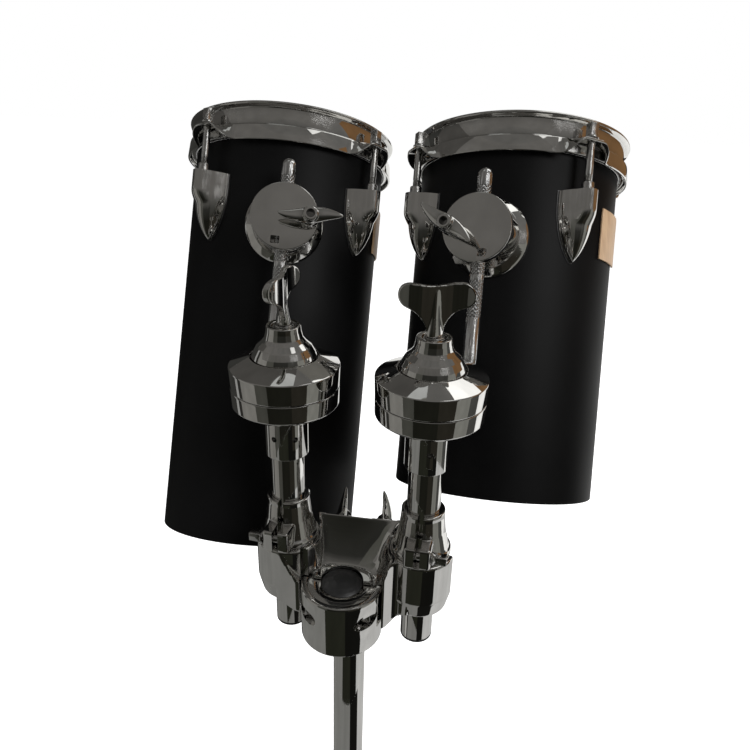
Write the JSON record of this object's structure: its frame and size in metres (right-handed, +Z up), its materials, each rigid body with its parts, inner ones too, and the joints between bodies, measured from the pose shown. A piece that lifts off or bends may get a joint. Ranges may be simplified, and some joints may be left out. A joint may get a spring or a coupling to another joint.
{
  "type": "octoban drum pair",
  "caption": "Pair of narrow tube drums with chrome hoops and lugs, hung from a double ball-joint holder on a pole clamp.",
  "frame": {"origin": "middle of the pole's flat lower end", "axes": "+Z up along the pole, -Y towards the player, -X towards the longer drum"},
  "size_m": [0.3538, 0.3226, 0.6446],
  "materials": {
    "chrome": "polished",
    "plated_steel": "satin",
    "matte_black_shell": "matte",
    "black_rubber": "matte",
    "black_nylon": "matte",
    "drumhead_film": "matte",
    "badge_wood": "satin"
  },
  "bodies": {
    "stand": {"pole": "chrome"},
    "clamp": {"clamp_body": "chrome", "front_cap": "chrome", "pole_plug": "black_rubber"},
    "cap_bolt_left": {"cap_bolt_left": "plated_steel"},
    "cap_bolt_right": {"cap_bolt_right": "plated_steel"},
    "left_arm_bolt": {"left_arm_wing_bolt": "chrome"},
    "left_lock": {"left_memory_lock": "chrome"},
    "left_lock_bolt": {"left_lock_bolt": "plated_steel"},
    "left_post": {"left_post": "chrome", "left_post_end_plug": "black_rubber", "left_housing_lower": "chrome", "left_housing_upper": "chrome", "left_dome": "chrome"},
    "left_top_bolt": {"left_top_wing_bolt": "chrome"},
    "left_ball": {"left_ball": "black_nylon"},
    "left_rod": {"left_l_rod": "chrome"},
    "left_sleeve": {"left_rod_sleeve": "black_nylon"},
    "left_drum": {"left_shell": "matte_black_shell", "left_badge": "badge_wood", "left_head": "drumhead_film", "left_hoop": "chrome", "left_bracket_base": "chrome", "left_bracket_disc": "chrome", "left_lug_1": "chrome", "left_lug_2": "chrome", "left_lug_3": "chrome", "left_lug_4": "chrome"},
    "left_bracket_screw": {"left_bracket_wing_screw": "chrome"},
    "left_tension_rod_1": {"left_tension_rod_1": "plated_steel"},
    "left_tension_rod_2": {"left_tension_rod_2": "plated_steel"},
    "left_tension_rod_3": {"left_tension_rod_3": "plated_steel"},
    "left_tension_rod_4": {"left_tension_rod_4": "plated_steel"},
    "right_arm_bolt": {"right_arm_wing_bolt": "chrome"},
    "right_lock": {"right_memory_lock": "chrome"},
    "right_lock_bolt": {"right_lock_bolt": "plated_steel"},
    "right_post": {"right_post": "chrome", "right_post_end_plug": "black_rubber", "right_housing_lower": "chrome", "right_housing_upper": "chrome", "right_dome": "chrome"},
    "right_top_bolt": {"right_top_wing_bolt": "chrome"},
    "right_ball": {"right_ball": "black_nylon"},
    "right_rod": {"right_l_rod": "chrome"},
    "right_sleeve": {"right_rod_sleeve": "black_nylon"},
    "right_drum": {"right_shell": "matte_black_shell", "right_badge": "badge_wood", "right_head": "drumhead_film", "right_hoop": "chrome", "right_bracket_base": "chrome", "right_bracket_disc": "chrome", "right_lug_1": "chrome", "right_lug_2": "chrome", "right_lug_3": "chrome", "right_lug_4": "chrome"},
    "right_bracket_screw": {"right_bracket_wing_screw": "chrome"},
    "right_tension_rod_1": {"right_tension_rod_1": "plated_steel"},
    "right_tension_rod_2": {"right_tension_rod_2": "plated_steel"},
    "right_tension_rod_3": {"right_tension_rod_3": "plated_steel"},
    "right_tension_rod_4": {"right_tension_rod_4": "plated_steel"}
  },
  "joints": [
    {"name": "clamp_turn", "type": "hinge", "parent": "stand", "child": "clamp", "pos_m": [0, 0, 0.309], "axis": [0, 0, 1], "continuous": true},
    {"name": "cap_bolt_left_turn", "type": "hinge", "parent": "clamp", "child": "cap_bolt_left", "pos_m": [-0.025, 0, 0.334], "axis": [0, -1, 0], "continuous": true},
    {"name": "cap_bolt_right_turn", "type": "hinge", "parent": "clamp", "child": "cap_bolt_right", "pos_m": [0.014, 0, 0.334], "axis": [0, -1, 0], "continuous": true},
    {"name": "left_arm_bolt_turn", "type": "hinge", "parent": "clamp", "child": "left_arm_bolt", "pos_m": [-0.02755, 0.03966, 0.361], "axis": [0.6018, 0.7986, 0], "range_deg": [-20, 10]},
    {"name": "left_lock_turn", "type": "hinge", "parent": "clamp", "child": "left_lock", "pos_m": [-0.0456, 0.0157, 0.373], "axis": [0, 0, 1], "range_deg": [-2, 25]},
    {"name": "left_lock_bolt_turn", "type": "hinge", "parent": "left_lock", "child": "left_lock_bolt", "pos_m": [-0.0479, -0.00618, 0.3833], "axis": [-0.9945, 0.1045, 0], "continuous": true},
    {"name": "left_post_slide", "type": "slide", "parent": "left_lock", "child": "left_post", "axis": [0, 0, 1], "range_m": [-0.03, 0.003]},
    {"name": "left_top_bolt_turn", "type": "hinge", "parent": "left_post", "child": "left_top_bolt", "pos_m": [-0.0456, 0.0157, 0.526], "axis": [0, 0, 1], "continuous": true},
    {"name": "left_ball_tilt", "type": "hinge", "parent": "left_post", "child": "left_ball", "pos_m": [-0.0456, 0.0157, 0.487], "axis": [1, 0, 0], "range_deg": [0, 8]},
    {"name": "left_rod_turn", "type": "hinge", "parent": "left_ball", "child": "left_rod", "pos_m": [-0.0456, 0.0157, 0.487], "axis": [-0.4381, 0.8989, 0], "range_deg": [-3, 6]},
    {"name": "left_bracket_slide", "type": "slide", "parent": "left_rod", "child": "left_sleeve", "axis": [0, 0.4226, 0.9063], "range_m": [-0.001, 0.025]},
    {"name": "left_drum_swing", "type": "hinge", "parent": "left_sleeve", "child": "left_drum", "pos_m": [-0.06689, 0.0986, 0.57108], "axis": [0, 0.4226, 0.9063], "range_deg": [-1, 45]},
    {"name": "left_bracket_screw_turn", "type": "hinge", "parent": "left_drum", "child": "left_bracket_screw", "pos_m": [-0.0475, 0.09252, 0.57391], "axis": [0.2588, -0.8754, 0.4082], "continuous": true},
    {"name": "left_tension_rod_1_turn", "type": "hinge", "parent": "left_drum", "child": "left_tension_rod_1", "pos_m": [-0.1355, 0.14672, 0.63084], "axis": [0, 0.4226, 0.9063], "continuous": true},
    {"name": "left_tension_rod_2_turn", "type": "hinge", "parent": "left_drum", "child": "left_tension_rod_2", "pos_m": [-0.01666, 0.17558, 0.61738], "axis": [0, 0.4226, 0.9063], "continuous": true},
    {"name": "left_tension_rod_3_turn", "type": "hinge", "parent": "left_drum", "child": "left_tension_rod_3", "pos_m": [-0.0485, 0.28329, 0.56716], "axis": [0, 0.4226, 0.9063], "continuous": true},
    {"name": "left_tension_rod_4_turn", "type": "hinge", "parent": "left_drum", "child": "left_tension_rod_4", "pos_m": [-0.16734, 0.25443, 0.58062], "axis": [0, 0.4226, 0.9063], "continuous": true},
    {"name": "right_arm_bolt_turn", "type": "hinge", "parent": "clamp", "child": "right_arm_bolt", "pos_m": [0.02755, 0.03966, 0.361], "axis": [-0.6018, 0.7986, 0], "range_deg": [-20, 20]},
    {"name": "right_lock_turn", "type": "hinge", "parent": "clamp", "child": "right_lock", "pos_m": [0.0456, 0.0157, 0.373], "axis": [0, 0, 1], "range_deg": [-40, 3]},
    {"name": "right_lock_bolt_turn", "type": "hinge", "parent": "right_lock", "child": "right_lock_bolt", "pos_m": [0.04483, -0.00629, 0.3833], "axis": [0.9994, -0.0349, 0], "continuous": true},
    {"name": "right_post_slide", "type": "slide", "parent": "right_lock", "child": "right_post", "axis": [0, 0, 1], "range_m": [-0.03, 0.04]},
    {"name": "right_top_bolt_turn", "type": "hinge", "parent": "right_post", "child": "right_top_bolt", "pos_m": [0.0456, 0.0157, 0.526], "axis": [0, 0, 1], "continuous": true},
    {"name": "right_ball_tilt", "type": "hinge", "parent": "right_post", "child": "right_ball", "pos_m": [0.0456, 0.0157, 0.487], "axis": [1, 0, 0], "range_deg": [-4, 8]},
    {"name": "right_rod_turn", "type": "hinge", "parent": "right_ball", "child": "right_rod", "pos_m": [0.0456, 0.0157, 0.487], "axis": [0.4381, 0.8989, 0], "range_deg": [-6, 3]},
    {"name": "right_bracket_slide", "type": "slide", "parent": "right_rod", "child": "right_sleeve", "axis": [0, 0.4226, 0.9063], "range_m": [-0.03, 0.025]},
    {"name": "right_drum_swing", "type": "hinge", "parent": "right_sleeve", "child": "right_drum", "pos_m": [0.06689, 0.0986, 0.57108], "axis": [0, 0.4226, 0.9063], "range_deg": [-45, 3]},
    {"name": "right_bracket_screw_turn", "type": "hinge", "parent": "right_drum", "child": "right_bracket_screw", "pos_m": [0.0475, 0.09252, 0.57391], "axis": [-0.2588, -0.8754, 0.4082], "continuous": true},
    {"name": "right_tension_rod_1_turn", "type": "hinge", "parent": "right_drum", "child": "right_tension_rod_1", "pos_m": [0.01666, 0.17558, 0.61738], "axis": [0, 0.4226, 0.9063], "continuous": true},
    {"name": "right_tension_rod_2_turn", "type": "hinge", "parent": "right_drum", "child": "right_tension_rod_2", "pos_m": [0.1355, 0.14672, 0.63084], "axis": [0, 0.4226, 0.9063], "continuous": true},
    {"name": "right_tension_rod_3_turn", "type": "hinge", "parent": "right_drum", "child": "right_tension_rod_3", "pos_m": [0.16734, 0.25443, 0.58062], "axis": [0, 0.4226, 0.9063], "continuous": true},
    {"name": "right_tension_rod_4_turn", "type": "hinge", "parent": "right_drum", "child": "right_tension_rod_4", "pos_m": [0.0485, 0.28329, 0.56716], "axis": [0, 0.4226, 0.9063], "continuous": true}
  ]
}
